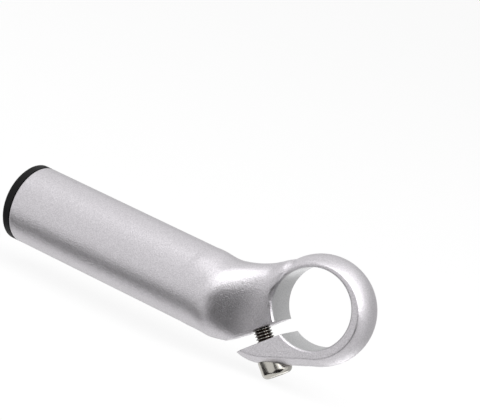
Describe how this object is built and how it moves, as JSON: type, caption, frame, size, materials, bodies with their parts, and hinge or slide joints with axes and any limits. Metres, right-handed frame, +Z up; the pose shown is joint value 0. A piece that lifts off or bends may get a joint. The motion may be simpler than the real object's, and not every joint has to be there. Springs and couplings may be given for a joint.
{
  "type": "bicycle bar end",
  "caption": "Forged aluminium handlebar bar end: split clamp ring with a pinch bolt, curved neck and a hollow grip tube with an end plug.",
  "frame": {"origin": "middle of the handlebar bore, on its axis", "axes": "+Y along the bore's axis towards its outer face; +X along the grip's length away from the clamp; +Z up, so that the grip lies level and leans to -Y"},
  "size_m": [0.1129, 0.0376, 0.0384],
  "materials": {
    "anodised_aluminium": "bead-blasted and clear anodised, with fine sparkle",
    "plug_plastic": "moulded, satin",
    "plated_steel": "bright plated screw"
  },
  "bodies": {
    "bar_end": {"bar_end_body": "anodised_aluminium", "end_plug": "plug_plastic"},
    "bolt": {"clamp_bolt": "plated_steel"}
  },
  "joints": [
    {"name": "clamp_bolt_turn", "type": "hinge", "parent": "bar_end", "child": "bolt", "pos_m": [0.00776, 0, -0.01776], "axis": [0.6691, 0, 0.7431], "range_deg": [0, 450]}
  ]
}
